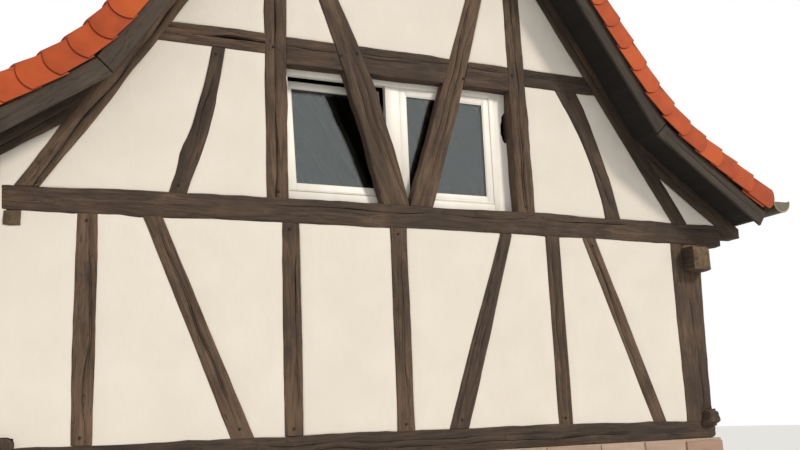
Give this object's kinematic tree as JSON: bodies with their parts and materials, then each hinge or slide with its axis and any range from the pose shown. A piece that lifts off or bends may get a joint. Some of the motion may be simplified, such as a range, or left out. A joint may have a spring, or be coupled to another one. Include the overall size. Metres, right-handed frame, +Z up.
{
  "type": "half timbered house",
  "caption": "Gabled half timbered house on a sandstone plinth, with plaster panels, a tiled bell-cast roof and a casement window behind V struts.",
  "frame": {"origin": "ground level under the middle of the house, on the line of the ridge", "axes": "+Z up, +X to the right of someone who faces the front gable, +Y from the front gable to the rear one"},
  "size_m": [10.042, 10.12, 10.2977],
  "materials": {
    "sandstone": "rough, weathered",
    "timber": "weathered, rough",
    "boards": "plain, matt",
    "plaster": "matt limewash",
    "roof_boards": "dark stain",
    "clay_tile": "matt",
    "gutter_metal": "weathered",
    "window_paint": "satin paint",
    "window_glass": "clear"
  },
  "bodies": {
    "root": {"plinth_front": "sandstone", "plinth_rear": "sandstone", "plinth_left": "sandstone", "plinth_right": "sandstone", "ground_floor": "boards", "gable_sills": "timber", "side_sills": "timber", "corner_posts": "timber", "lower_posts": "timber", "lower_braces": "timber", "lower_panels": "plaster", "front_tie_beam": "timber", "tie_beams": "timber", "wall_plates": "timber", "attic_floor": "boards", "upper_posts": "timber", "window_struts": "timber", "curved_braces": "timber", "rails": "timber", "collars": "timber", "upper_panels": "plaster", "left_rafters": "timber", "right_rafters": "timber", "sprockets": "timber", "left_roof_deck": "roof_boards", "right_roof_deck": "roof_boards", "left_tiles": "clay_tile", "right_tiles": "clay_tile", "ridge_tiles": "clay_tile", "verge_boards": "roof_boards", "verge_tiles": "clay_tile", "fascias": "roof_boards", "gutters": "gutter_metal", "window_frames": "window_paint", "tilted_sash": "window_paint", "closed_sashes": "window_paint", "window_panes": "window_glass", "side_posts": "timber", "side_braces": "timber", "side_rails": "timber", "side_panels": "plaster", "side_windows": "window_paint", "side_panes": "window_glass", "plank_door": "boards", "door_steps": "sandstone"}
  },
  "joints": []
}
